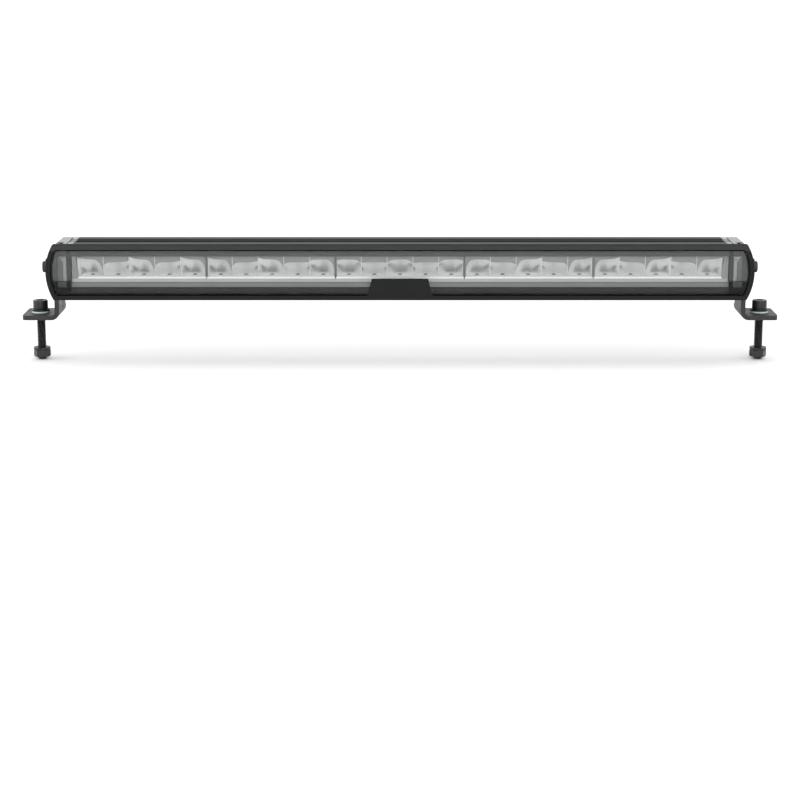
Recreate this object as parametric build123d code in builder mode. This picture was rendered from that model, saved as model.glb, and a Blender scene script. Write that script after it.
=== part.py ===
from build123d import *
import os
from math import asin, atan2, cos, degrees, radians, sin, sqrt, tan

# LED light bar on two L brackets. Millimetres.
# X runs along the bar, the lamp shines towards -Y and Z is up. The origin lies on the feet's underside,
# midway between the two bolts that hold the bar to a vehicle.

# Optics
cell_pitch = 22.4                 # one reflector cup
cells_per_module = 5
module_count = 5
module_length = cell_pitch * cells_per_module

# Lamp: outline of the bezel seen from the front
lamp_half_length = 307.0          # to the tips of the curved ends
lamp_height = 48.0
end_bulge = 6.3                   # how far the ends bow outwards
pivot_y = -10.4                   # tilt axis
pivot_z = 46.3
lamp_front = -46.0
bezel_rear = -35.4
body_front = -34.4                # front of the housing and the end caps
body_rear = 12.0

# Bezel and lens
rim_width = 3.9
ledge_width = 1.2                 # the lens rests on this ledge behind the rim
lens_gap = 0.5
lens_front = -44.6
lens_rear = -41.6
ledge_front = -40.6
trim_front = -40.4
trim_back = -37.4
tab_top_width = 48.6
tab_foot_width = 57.0
tab_top = -5.1                    # above the lamp's middle

# Housing extrusion
body_height = 47.0
extrusion_half = 289.0
gasket_thickness = 1.0
end_cap_thickness = 10.0
wall = 3.2
mouth_depth = 4.4
mouth_height = 40.6
tongue_length = 2.6
tongue_thickness = 1.5
shelf_top = 40.3
shelf_thickness = 3.0
shelf_nose = -38.0
nose_half = 285.0
hollow_mid_y = -14.0              # hollow under the shelf
hollow_depth = 18.0
chamber_top = 62.0
chamber_rear = -1.5
rear_wall_back = 3.0
groove_mid_y = -13.0              # two grooves along the top
groove_pitch = 9.5
groove_width = 7.5
groove_depth = 4.0
fin_pitch = 5.4
fin_gap = 3.2
fin_count = 8
port_radius = 1.75                # screw ports for the end caps

# Bracket
plate = 4.0
side_gap = 0.3                    # between the end cap and the bracket
foot_half_width = 20.2
foot_reach = 33.0
bend_radius = 3.3
foot_hole_x = 320.0
foot_hole_radius = 4.5
slot_radius = 15.7
slot_width = 7.2
slot_low_angle = -14.0
slot_high_angle = 23.0
pivot_hole_radius = 3.3

# Fasteners: washer sizes are outer radius, inner radius, thickness
m6_length = 16.0
m8_length = 45.0
m6_nylon = (6.0, 3.2, 1.0)
m6_flat = (6.0, 3.2, 1.6)
m6_spring = (5.9, 3.1, 1.6)
m8_nylon = (8.0, 4.2, 1.2)
m8_flat = (8.0, 4.2, 1.6)
m8_spring = (7.4, 4.1, 2.0)
m8_nut_height = 6.5
m8_nut_flats = 13.0
face_radius = 6.3                 # nut's flat face inside its chamfer
corner_radius = 7.6
m8_tip = 2.0                      # thread past the nut

cap_outer = extrusion_half + gasket_thickness + end_cap_thickness
cap_inner = cap_outer - end_cap_thickness
bracket_inner = cap_outer + side_gap
bracket_outer = bracket_inner + plate
body_mid_y = (body_front + body_rear) / 2
body_depth = body_rear - body_front
body_top = pivot_z + body_height / 2
body_bottom = pivot_z - body_height / 2
rear_slot_y = pivot_y + slot_radius
module_centres = [(index - (module_count - 1) / 2) * module_length for index in range(module_count)]
cell_offsets = [(index - (cells_per_module - 1) / 2) * cell_pitch for index in range(cells_per_module)]

os.makedirs("parts", exist_ok=True)


def save(piece, label):
    """Labels a finished piece and writes it to the parts folder."""
    piece.part.label = label
    export_step(piece.part, f"parts/{label}.step")


def save_mirrored(piece, label):
    """Writes the piece's mirror image on the other side of the bar's middle."""
    with BuildPart() as twin:
        mirror(piece.part, about=Plane.YZ)
    save(twin, label)


def front_plane(y):
    """A plane across the lamp that faces forwards, its origin at the lamp's middle."""
    return Plane(origin=(0, y, pivot_z), x_dir=(1, 0, 0), z_dir=(0, -1, 0))


def rear_plane(x, y):
    """A plane that faces backwards, its origin at a pad's middle."""
    return Plane(origin=(x, y, pivot_z + pad_rise), x_dir=(1, 0, 0), z_dir=(0, 1, 0))


def outline(inset, corner=0.0):
    """The lamp's front outline, drawn inset by a margin: straight above and below, bowed at both ends."""
    half_height = lamp_height / 2
    tip = lamp_half_length
    corner_x = tip - end_bulge
    with BuildSketch() as face:
        with BuildLine():
            Line((-corner_x, half_height), (corner_x, half_height))
            ThreePointArc((corner_x, half_height), (tip, 0), (corner_x, -half_height))
            Line((corner_x, -half_height), (-corner_x, -half_height))
            ThreePointArc((-corner_x, -half_height), (-tip, 0), (-corner_x, half_height))
        make_face()
        if inset > 0:
            offset(amount=-inset, kind=Kind.INTERSECTION, mode=Mode.REPLACE)
        if corner > 0:
            fillet(face.vertices(), corner)
    return face.sketch


def ring(outer_radius, inner_radius, thickness):
    """A flat ring standing on the plane z = 0."""
    with BuildPart() as washer:
        with BuildSketch():
            Circle(outer_radius)
            Circle(inner_radius, mode=Mode.SUBTRACT)
        extrude(amount=thickness)
    return washer.part


def spring_ring(outer_radius, inner_radius, thickness):
    """A split spring washer, pressed flat, with its slanted cut."""
    cut_width = thickness * 0.5
    with BuildPart() as washer:
        with BuildSketch():
            Circle(outer_radius)
            Circle(inner_radius, mode=Mode.SUBTRACT)
        extrude(amount=thickness)
        with BuildSketch(Plane.XZ):
            with BuildLine():
                Polyline((-thickness, 0), (cut_width - thickness, 0), (cut_width, thickness),
                         (0, thickness), close=True)
            make_face()
        extrude(amount=outer_radius + 1, mode=Mode.SUBTRACT)
    return washer.part


def cap_screw(thread_radius, length):
    """A socket-head cap screw: the head stands on the plane z = 0 and the shank goes below it."""
    head_radius = thread_radius * (1.625 if thread_radius > 3.5 else 5 / 3)
    head_height = thread_radius * 2
    key_flats = thread_radius * (1.5 if thread_radius > 3.5 else 5 / 3)
    with BuildPart() as screw:
        with BuildSketch():
            Circle(head_radius)
        extrude(amount=head_height)
        chamfer(screw.edges().group_by(Axis.Z)[-1], head_height * 0.08)
        with BuildSketch():
            Circle(thread_radius)
        extrude(amount=-length)
        chamfer(screw.edges().group_by(Axis.Z)[0], thread_radius * 0.2)
        with BuildSketch(Plane.XY.offset(head_height)):
            RegularPolygon(key_flats / 2, 6, major_radius=False)
        extrude(amount=-head_height * 0.5, mode=Mode.SUBTRACT)
    return screw.part


def pan_screw(head_radius, head_height, thread_radius, length):
    """A small pan-head screw with a cross-shaped recess, its head above the plane z = 0."""
    with BuildPart() as screw:
        with BuildSketch():
            Circle(head_radius)
        extrude(amount=head_height)
        fillet(screw.edges().group_by(Axis.Z)[-1], head_height * 0.4)
        with BuildSketch():
            Circle(thread_radius)
        extrude(amount=-length)
        with BuildSketch(Plane.XY.offset(head_height)):
            Rectangle(head_radius, head_radius * 0.24)
            Rectangle(head_radius * 0.24, head_radius)
        extrude(amount=-head_height * 0.5, mode=Mode.SUBTRACT)
    return screw.part


# --- Housing: one aluminium extrusion with a shelf for the boards and fins along its back
port_points = [(y, z) for y in (-26.0, -1.0) for z in (29.0, 65.9)]
gland_x = 200.0
vent_x = -200.0
pad_rise = 4.0                    # pads' middle above the lamp's middle
pad_size = 25.0
neck_radius = 6.0
board_screw_y = -15.6
board_screw_offset = 2 * cell_pitch
board_screw_points = [(centre + side * board_screw_offset, board_screw_y)
                      for centre in module_centres for side in (-1, 1)]
driver_screw_points = [(x, z) for x in (-124.0, 124.0) for z in (-1.8, 12.2)]
small_hole = 1.6

with BuildPart() as housing:
    with BuildSketch(Plane.YZ):
        with Locations((body_mid_y, pivot_z)):
            shell = Rectangle(body_depth, body_height)
        fillet(shell.vertices().group_by(Axis.Y)[-1], 3.0)
        # tongues that the bezel slides over
        with Locations((body_front - tongue_length / 2, pivot_z)):
            with GridLocations(0, mouth_height + tongue_thickness, 1, 2):
                Rectangle(tongue_length, tongue_thickness)
        # mouth, optic chamber and lower hollow
        with Locations((body_front + mouth_depth / 2, pivot_z)):
            Rectangle(mouth_depth, mouth_height, mode=Mode.SUBTRACT)
        with Locations(((body_front + chamber_rear) / 2, (shelf_top + chamber_top) / 2)):
            Rectangle(chamber_rear - body_front, chamber_top - shelf_top, mode=Mode.SUBTRACT)
        shelf_underside = shelf_top - shelf_thickness
        hollow_floor = body_bottom + wall
        with Locations((hollow_mid_y, (hollow_floor + shelf_underside) / 2)):
            Rectangle(hollow_depth, shelf_underside - hollow_floor, mode=Mode.SUBTRACT)
        # nose of the shelf
        with Locations(((shelf_nose + body_front + mouth_depth) / 2, shelf_top - shelf_thickness / 2)):
            Rectangle(body_front + mouth_depth - shelf_nose, shelf_thickness)
        # two grooves along the top and one along the bottom
        with Locations((groove_mid_y, body_top)):
            with GridLocations(groove_pitch, 0, 2, 1):
                Rectangle(groove_width, 2 * groove_depth, mode=Mode.SUBTRACT)
        with Locations((groove_mid_y, body_bottom)):
            Rectangle(16.0, 2.4, mode=Mode.SUBTRACT)
        # gaps between the rear fins
        with Locations(((rear_wall_back + body_rear) / 2, pivot_z)):
            with GridLocations(0, fin_pitch, 1, fin_count):
                Rectangle(body_rear - rear_wall_back, fin_gap, mode=Mode.SUBTRACT)
        with Locations(*port_points):
            Circle(port_radius, mode=Mode.SUBTRACT)
    extrude(amount=extrusion_half, both=True)
    # flat pads for the gland and the vent, with their holes
    with BuildSketch(front_plane(body_rear)):
        with Locations((gland_x, pad_rise), (vent_x, pad_rise)):
            Rectangle(pad_size, pad_size)
    extrude(amount=body_rear - rear_wall_back, mode=Mode.SUBTRACT)
    with BuildSketch(front_plane(rear_wall_back)):
        with Locations((gland_x, pad_rise), (vent_x, pad_rise)):
            Circle(neck_radius + 0.1)
    extrude(amount=rear_wall_back - chamber_rear, mode=Mode.SUBTRACT)
    with BuildSketch(Plane.XY.offset(shelf_top)):
        with Locations(*board_screw_points):
            Circle(small_hole)
        # the shelf's nose stops short of the end pockets
        with Locations((0, body_front - 2.5)):
            with GridLocations(2 * nose_half + 10, 0, 2, 1):
                Rectangle(10, 5)
    extrude(amount=-shelf_thickness, mode=Mode.SUBTRACT)
    with BuildSketch(front_plane(rear_wall_back - 1.0)):
        with Locations(*driver_screw_points):
            Circle(small_hole)
    extrude(amount=rear_wall_back - 1.0 - chamber_rear, mode=Mode.SUBTRACT)
save(housing, "housing")

# --- End caps: thick plates that close the extrusion and take the bracket screws
cap_screw_seat = 3.2
m6_hole_depth = 7.7
m6_points = [(pivot_y, pivot_z), (rear_slot_y, pivot_z)]
notch_depth = 5.5
notch_width = 6.0
bezel_screw_seat = -31.4
bezel_screw_points = [(x, z) for x in (-297.0, 297.0) for z in (-21.0, 21.0)]

with BuildPart() as right_end_cap:
    with BuildSketch(Plane.YZ.offset(cap_inner)):
        with Locations((body_mid_y, pivot_z)):
            cap_face = Rectangle(body_depth, body_height)
        fillet(cap_face.vertices().group_by(Axis.Y)[-1], 3.0)
    extrude(amount=end_cap_thickness)
    outer_edges = right_end_cap.faces().sort_by(Axis.X)[-1].edges()
    chamfer(outer_edges.filter_by(Axis.Y) + outer_edges.sort_by(Axis.Y)[-1:], 0.8)
    # notches above and below at the outer front corner, for the heads of the bezel screws
    with BuildSketch(Plane.YZ.offset(cap_outer)):
        with Locations((bezel_screw_seat + 3.0, pivot_z)):
            with GridLocations(0, body_height, 1, 2):
                Rectangle(6.0, 2 * notch_depth)
    extrude(amount=-notch_width, mode=Mode.SUBTRACT)
    with BuildSketch(front_plane(body_front)):
        with Locations(*bezel_screw_points[2:]):
            Circle(small_hole)
    extrude(amount=body_front - bezel_screw_seat - 1, mode=Mode.SUBTRACT)
    with Locations(*[Plane.YZ.offset(cap_outer) * Location((y, z, 0)) for y, z in port_points]):
        CounterBoreHole(2.0, 3.8, cap_screw_seat)
    with BuildSketch(Plane.YZ.offset(cap_outer)):
        with Locations(*m6_points):
            Circle(3.05)
    extrude(amount=-m6_hole_depth, mode=Mode.SUBTRACT)
save(right_end_cap, "right_end_cap")
save_mirrored(right_end_cap, "left_end_cap")

with BuildPart() as right_end_gasket:
    with BuildSketch(Plane.YZ.offset(extrusion_half)):
        with Locations((body_mid_y, pivot_z)):
            Rectangle(body_depth - 2.0, body_height - 2.0)
        with Locations((hollow_mid_y + 0.5, (shelf_top + chamber_top) / 2 - 3.5)):
            Rectangle(hollow_depth - 1.0, 27.0, mode=Mode.SUBTRACT)
        with Locations(*port_points):
            Circle(2.2, mode=Mode.SUBTRACT)
    extrude(amount=gasket_thickness)
save(right_end_gasket, "right_end_gasket")
save_mirrored(right_end_gasket, "left_end_gasket")

end_screw = pan_screw(3.5, 2.6, 1.7, 16.0)
with BuildPart() as end_cap_screws:
    for side in (-1, 1):
        seat_x = side * (cap_outer - cap_screw_seat)
        seat = Plane(origin=(seat_x, 0, 0), x_dir=(0, side, 0), z_dir=(side, 0, 0))
        with Locations(*[seat * Location((side * y, z, 0)) for y, z in port_points]):
            add(end_screw)
save(end_cap_screws, "end_cap_screws")

# --- Front: bezel, lens, seals and the dark trim behind the lens
tongue_slot = mouth_height / 2 + tongue_thickness + 0.2
board_window_half = 296.0
board_window_height = 32.0


def front_opening():
    """The opening behind the trim: a wide slot for the tongues and a longer, lower one for the end boards."""
    with BuildSketch() as opening:
        Rectangle(2 * (extrusion_half + 0.6), 2 * tongue_slot)
        Rectangle(2 * board_window_half, board_window_height)
    return opening.sketch


with BuildPart() as front_bezel:
    with BuildSketch(front_plane(bezel_rear)):
        add(outline(0))
    extrude(amount=bezel_rear - lamp_front)
    fillet(front_bezel.faces().sort_by(Axis.Y)[0].edges(), 0.9)
    with BuildSketch(front_plane(ledge_front)):
        add(outline(rim_width, 2.6))
    extrude(amount=ledge_front - lamp_front, mode=Mode.SUBTRACT)
    with BuildSketch(front_plane(trim_back + 0.2)):
        add(outline(rim_width + ledge_width, 2.4))
    extrude(amount=trim_back + 0.2 - ledge_front, mode=Mode.SUBTRACT)
    with BuildSketch(front_plane(bezel_rear)):
        add(front_opening())
    extrude(amount=bezel_rear - trim_back, mode=Mode.SUBTRACT)
    with BuildSketch(front_plane(bezel_rear)):
        with Locations(*bezel_screw_points):
            Circle(small_hole)
    extrude(amount=4.2, mode=Mode.SUBTRACT)
    # tab over the lower edge of the lens
    with BuildSketch(front_plane(lens_front - 0.2)):
        with BuildLine():
            tab_foot = rim_width - 0.6 - lamp_height / 2
            Polyline((-tab_top_width / 2, tab_top), (tab_top_width / 2, tab_top),
                     (tab_foot_width / 2, tab_foot), (-tab_foot_width / 2, tab_foot), close=True)
        make_face()
    extrude(amount=1.0)
save(front_bezel, "front_bezel")

with BuildPart() as lens:
    with BuildSketch(front_plane(lens_rear)):
        add(outline(rim_width + lens_gap, 2.4))
    extrude(amount=lens_rear - lens_front)
    fillet(lens.faces().sort_by(Axis.Y)[0].edges(), 0.5)
save(lens, "lens")

with BuildPart() as lens_seal:
    with BuildSketch(front_plane(ledge_front)):
        add(outline(rim_width + 0.1, 2.4))
        add(outline(rim_width + ledge_width, 2.4), mode=Mode.SUBTRACT)
    extrude(amount=ledge_front - lens_rear)
save(lens_seal, "lens_seal")

with BuildPart() as bezel_seal:
    with BuildSketch(front_plane(body_front)):
        Rectangle(2 * (cap_outer - 0.8), body_height - 0.8)
        add(front_opening(), mode=Mode.SUBTRACT)
        with Locations(*bezel_screw_points):
            Circle(small_hole, mode=Mode.SUBTRACT)
    extrude(amount=body_front - bezel_rear)
save(bezel_seal, "bezel_seal")

bezel_screw = pan_screw(2.4, 1.8, 1.5, 8.0)
with BuildPart() as bezel_screws:
    for x, z in bezel_screw_points:
        with Locations(Plane(origin=(x, bezel_screw_seat, pivot_z + z), x_dir=(1, 0, 0), z_dir=(0, 1, 0))):
            add(bezel_screw)
save(bezel_screws, "bezel_screws")

pocket_floor = -38.5
window_half = 285.4
window_low = -9.3
window_high = 13.6
guide_inner = 289.3
guide_outer = 292.4
guide_half_height = 13.4
pocket_outer = 297.4

with BuildPart() as inner_trim:
    with BuildSketch(front_plane(trim_back)):
        add(outline(rim_width + ledge_width + 0.2, 2.2))
    extrude(amount=trim_back - trim_front)
    with BuildSketch(front_plane(trim_back)):
        with Locations((0, (window_low + window_high) / 2)):
            Rectangle(2 * window_half, window_high - window_low)
    extrude(amount=trim_back - trim_front, mode=Mode.SUBTRACT)
    # slope under the window, down towards the lens
    with BuildSketch(Plane.YZ):
        with BuildLine():
            Polyline((trim_back, pivot_z + window_low + 1), (trim_back, pivot_z + window_low),
                     (trim_front, pivot_z + window_low - 3.8), (trim_front, pivot_z + window_low + 1),
                     close=True)
        make_face()
    extrude(amount=window_half, both=True, mode=Mode.SUBTRACT)
    # pockets at both ends, with a slit for the position lights
    with BuildSketch(front_plane(pocket_floor)):
        with GridLocations(guide_inner + pocket_outer, 0, 2, 1):
            Rectangle(pocket_outer - guide_inner, 2 * guide_half_height + 0.8)
    extrude(amount=pocket_floor - trim_front, mode=Mode.SUBTRACT)
    with BuildSketch(front_plane(trim_back)):
        with GridLocations(guide_inner + guide_outer, 0, 2, 1):
            Rectangle(guide_outer - guide_inner - 1, 2 * guide_half_height - 4)
    extrude(amount=trim_back - pocket_floor, mode=Mode.SUBTRACT)
save(inner_trim, "inner_trim")

# --- Position lights: a light guide in front of a small board at each end
guide_front = -40.5
ear_width = 3.3
ear_height = 4.8

with BuildPart() as right_light_guide:
    with BuildSketch(front_plane(pocket_floor - 0.1)):
        with Locations(((guide_inner + guide_outer) / 2, 0)):
            Rectangle(guide_outer - guide_inner - 0.2, 2 * guide_half_height)
        for side in (-1, 1):
            with BuildLine():
                Polyline((guide_outer - 0.1, side * guide_half_height),
                         (guide_outer + ear_width, side * guide_half_height),
                         (guide_outer - 0.1, side * (guide_half_height - ear_height)), close=True)
            make_face()
    extrude(amount=pocket_floor - 0.1 - guide_front)
save(right_light_guide, "right_light_guide")
save_mirrored(right_light_guide, "left_light_guide")

position_board_front = -36.8
position_led_x = (guide_inner + guide_outer) / 2

with BuildPart() as right_position_board:
    with BuildSketch(front_plane(position_board_front)):
        with Locations((position_led_x, 0)):
            Rectangle(7.0, 30.0)
    extrude(amount=-1.0)
save(right_position_board, "right_position_board")
save_mirrored(right_position_board, "left_position_board")

with BuildPart() as position_leds:
    with BuildSketch(front_plane(position_board_front)):
        with GridLocations(2 * position_led_x, 12.0, 2, 2):
            Rectangle(1.6, 3.0)
    extrude(amount=0.7)
save(position_leds, "position_leds")

# --- Optics: five reflector modules over five boards
board_thickness = 1.6
board_top = shelf_top + board_thickness
board_front = -38.2
board_rear = -9.5
reflector_front = -38.2
reflector_rear = -18.6
reflector_top = 59.6
cup_depth = 17.0
tall_cup = 16.6
low_cup = 12.6
cup_half_width = 10.9
led_y = -25.4


def cup_hollow(height):
    """The hollow of one cup: half a paraboloid that opens forwards, no wider than its cell."""
    with BuildPart() as hollow:
        with BuildSketch(Plane.YZ):
            with BuildLine():
                Bezier((cup_depth, 0), (cup_depth, height / 2), (0, height))
                Polyline((0, height), (-1, height), (-1, 0), (cup_depth, 0))
            make_face()
        revolve(axis=Axis.Y)
        with BuildSketch():
            with Locations((0, cup_depth / 2 - 0.5)):
                Rectangle(2 * cup_half_width, cup_depth + 1)
        extrude(amount=height, mode=Mode.INTERSECT)
    return hollow.part


for number, centre in enumerate(module_centres, start=1):
    with BuildPart() as reflector:
        with BuildSketch(Plane.XY.offset(board_top)):
            with Locations((centre, (reflector_front + reflector_rear) / 2)):
                Rectangle(module_length - 0.4, reflector_rear - reflector_front)
        extrude(amount=reflector_top - board_top)
        for index, cell in enumerate(cell_offsets):
            hollow = cup_hollow(low_cup if index % 2 else tall_cup)
            with Locations((centre + cell, reflector_front, board_top)):
                add(hollow, mode=Mode.SUBTRACT)
    save(reflector, f"reflector_{number}")

    with BuildPart() as led_board:
        with BuildSketch(Plane.XY.offset(shelf_top)):
            with Locations((centre, (board_front + board_rear) / 2)):
                Rectangle(module_length - 1.0, board_rear - board_front)
            own_screws = [point for point in board_screw_points if abs(point[0] - centre) < module_length / 2]
            with Locations(*own_screws):
                Circle(small_hole, mode=Mode.SUBTRACT)
        extrude(amount=board_thickness)
    save(led_board, f"led_board_{number}")

with BuildPart() as led_chips:
    with BuildSketch(Plane.XY.offset(board_top)):
        with Locations((0, led_y)):
            with GridLocations(cell_pitch, 0, module_count * cells_per_module, 1):
                Rectangle(3.6, 3.6)
    extrude(amount=0.8)
save(led_chips, "led_chips")

board_screw = pan_screw(2.6, 2.0, 1.5, 5.2)
with BuildPart() as board_screws:
    with Locations(*[(x, y, board_top) for x, y in board_screw_points]):
        add(board_screw)
save(board_screws, "board_screws")

# --- Driver: a board stood off the rear wall, its parts towards the front
spacer = 2.0
driver_thickness = 1.6
driver_back = chamber_rear - spacer
driver_front = driver_back - driver_thickness
driver_half_length = 130.0
driver_height = 18.0
driver_mid = 5.2                  # above the lamp's middle

with BuildPart() as driver_board:
    with BuildSketch(front_plane(driver_back)):
        with Locations((0, driver_mid)):
            Rectangle(2 * driver_half_length, driver_height)
        with Locations(*driver_screw_points):
            Circle(small_hole, mode=Mode.SUBTRACT)
    extrude(amount=driver_thickness)
save(driver_board, "driver_board")

spacer_ring = ring(2.6, small_hole, spacer)
with BuildPart() as driver_spacers:
    with Locations(*[front_plane(chamber_rear) * Location((x, z, 0)) for x, z in driver_screw_points]):
        add(spacer_ring)
save(driver_spacers, "driver_spacers")

driver_screw = pan_screw(2.6, 2.0, 1.5, 7.0)
with BuildPart() as driver_screws:
    with Locations(*[front_plane(driver_front) * Location((x, z, 0)) for x, z in driver_screw_points]):
        add(driver_screw)
save(driver_screws, "driver_screws")

with BuildPart() as driver_coils:
    with BuildSketch(front_plane(driver_front)):
        with Locations((-80, driver_mid)):
            with GridLocations(24.0, 0, 2, 1):
                Circle(6.5)
                Circle(2.5, mode=Mode.SUBTRACT)
    extrude(amount=7.0)
    fillet(driver_coils.faces().sort_by(Axis.Y)[0:2].edges(), 1.2)
save(driver_coils, "driver_coils")

with BuildPart() as driver_capacitors:
    with BuildSketch(front_plane(driver_front)):
        with Locations((-16, driver_mid)):
            with GridLocations(14.0, 0, 3, 1):
                Circle(4.0)
    extrude(amount=8.6)
    fillet(driver_capacitors.faces().sort_by(Axis.Y)[0:3].edges(), 0.6)
save(driver_capacitors, "driver_capacitors")

with BuildPart() as driver_chips:
    with BuildSketch(front_plane(driver_front)):
        with Locations((55, driver_mid)):
            with GridLocations(22.0, 0, 4, 1):
                Rectangle(8.0, 7.0)
    extrude(amount=1.4)
save(driver_chips, "driver_chips")

# --- Internal leads
lead_radius = 0.8


def lead(*points):
    """A wire along straight runs and arcs."""
    with BuildPart() as wire:
        with BuildLine() as route:
            FilletPolyline(*points, radius=2.2)
        with BuildSketch(Plane(origin=route.line @ 0, z_dir=route.line % 0)):
            Circle(lead_radius)
        sweep()
    return wire.part


with BuildPart() as supply_leads:
    for step in (-1.2, 1.2):
        height = pivot_z + pad_rise + step
        add(lead((gland_x + step, -7.2, height), (gland_x + step, -11.0, height),
                 (114.0, -11.0, height), (114.0, driver_front, height)))
save(supply_leads, "supply_leads")

riser_z = 49.0
bus_half = module_centres[-1] + 20
with BuildPart() as led_leads:
    for bus_y, riser_x in ((-10.4, -108.0), (-12.1, -112.0)):
        with BuildSketch(Plane.YZ.offset(-bus_half)):
            with Locations((bus_y, board_top + lead_radius)):
                Circle(lead_radius)
        extrude(amount=2 * bus_half)
        add(lead((riser_x, driver_front, riser_z), (riser_x, bus_y, riser_z),
                 (riser_x, bus_y, board_top + lead_radius)))
save(led_leads, "led_leads")

# --- Cable gland through the rear wall
gland_bore = 3.5
seal_bore = 3.25
seal_start = 9.5                  # distances behind the rear wall
seal_end = 16.5
hex_height = 5.0
body_radius = 6.4                 # threaded body inside the dome nut
seal_radius = 4.95
dome_start = 5.2
dome_length = 14.5
hex_flats = 17.0

with BuildPart() as cable_gland:
    with BuildSketch(rear_plane(gland_x, rear_wall_back)):
        RegularPolygon(hex_flats / 2, 6, major_radius=False)
    extrude(amount=hex_height)
    chamfer(cable_gland.faces().sort_by(Axis.Y)[-1].edges(), 0.5)
    with BuildSketch(rear_plane(gland_x, rear_wall_back)):
        Circle(body_radius)
    extrude(amount=seal_end)
    with BuildSketch(rear_plane(gland_x, rear_wall_back)):
        Circle(neck_radius)
    extrude(amount=-(rear_wall_back - chamber_rear + 5.0))
    with BuildSketch(rear_plane(gland_x, rear_wall_back + seal_start)):
        Circle(seal_radius + 0.05)
    extrude(amount=seal_end - seal_start, mode=Mode.SUBTRACT)
    with BuildSketch(rear_plane(gland_x, rear_wall_back + seal_start)):
        Circle(gland_bore)
    extrude(amount=-30, mode=Mode.SUBTRACT)
save(cable_gland, "cable_gland")

with BuildPart() as gland_seal:
    with BuildSketch(rear_plane(gland_x, rear_wall_back + seal_start)):
        Circle(seal_radius)
        Circle(seal_bore, mode=Mode.SUBTRACT)
    extrude(amount=seal_end - seal_start)
save(gland_seal, "gland_seal")

with BuildPart() as gland_dome_nut:
    with BuildSketch(rear_plane(gland_x, rear_wall_back + dome_start)):
        RegularPolygon(8.0, 12, major_radius=False)
    extrude(amount=dome_length)
    chamfer(gland_dome_nut.faces().sort_by(Axis.Y)[-1].edges(), 1.8)
    with BuildSketch(rear_plane(gland_x, rear_wall_back + dome_start)):
        Circle(body_radius + 0.05)
    extrude(amount=seal_end - dome_start, mode=Mode.SUBTRACT)
    with BuildSketch(rear_plane(gland_x, rear_wall_back + seal_end)):
        Circle(gland_bore + 0.2)
    extrude(amount=dome_length, mode=Mode.SUBTRACT)
save(gland_dome_nut, "gland_dome_nut")

with BuildPart() as gland_lock_nut:
    with BuildSketch(front_plane(chamber_rear)):
        with Locations((gland_x, pad_rise)):
            RegularPolygon(hex_flats / 2, 6, major_radius=False)
            Circle(neck_radius + 0.05, mode=Mode.SUBTRACT)
    extrude(amount=3.6)
save(gland_lock_nut, "gland_lock_nut")

# --- Pressure vent through the rear wall
with BuildPart() as vent_plug:
    with BuildSketch(rear_plane(vent_x, rear_wall_back)):
        Circle(8.0)
    extrude(amount=3.2)
    with BuildSketch(rear_plane(vent_x, rear_wall_back + 3.2)):
        Circle(6.6)
    extrude(amount=2.2)
    fillet(vent_plug.faces().sort_by(Axis.Y)[-1].edges(), 1.0)
    with BuildSketch(rear_plane(vent_x, rear_wall_back)):
        Circle(neck_radius)
    extrude(amount=-6.5)
    with BuildSketch(rear_plane(vent_x, rear_wall_back - 6.5)):
        Circle(4.2)
    extrude(amount=0.8, mode=Mode.SUBTRACT)
    with BuildSketch(rear_plane(vent_x, rear_wall_back - 5.7)):
        Circle(2.5)
    extrude(amount=7.5, mode=Mode.SUBTRACT)
    with BuildSketch(Plane.XY.offset(pivot_z + pad_rise)):
        with Locations((vent_x, rear_wall_back + 1.0)):
            Rectangle(17.0, 1.2)
    extrude(amount=1.2, both=True, mode=Mode.SUBTRACT)
save(vent_plug, "vent_plug")

with BuildPart() as vent_membrane:
    with BuildSketch(rear_plane(vent_x, rear_wall_back - 6.4)):
        Circle(4.1)
    extrude(amount=0.5)
save(vent_membrane, "vent_membrane")

# --- Brackets: L-shaped plates with a pivot hole and a curved slot about it
edge_margin = 9.2                 # metal round the slot
crown_slope = 17.0                # fall of the top edge towards the front, in degrees
scallop_radius = 22.5
scallop_drop = -20.3              # middle of the scallop, from the pivot
front_edge = -foot_half_width - pivot_y
rear_edge = foot_half_width - pivot_y
rim_radius = slot_radius + edge_margin
scallop_x = sqrt((rim_radius + scallop_radius) ** 2 - scallop_drop ** 2)
scallop_start = degrees(atan2(scallop_drop, scallop_x))
scallop_turn = degrees(asin(sqrt(1 - ((scallop_x - rear_edge) / scallop_radius) ** 2)))
foot_line = scallop_drop - scallop_radius * sin(radians(scallop_turn))
crown_centre = (slot_radius * cos(radians(slot_high_angle)), slot_radius * sin(radians(slot_high_angle)))
crown_angle = 90 + crown_slope
crown_end = (crown_centre[0] + edge_margin * cos(radians(crown_angle)),
             crown_centre[1] + edge_margin * sin(radians(crown_angle)))
brow = (front_edge, crown_end[1] - (crown_end[0] - front_edge) * tan(radians(crown_slope)))

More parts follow.
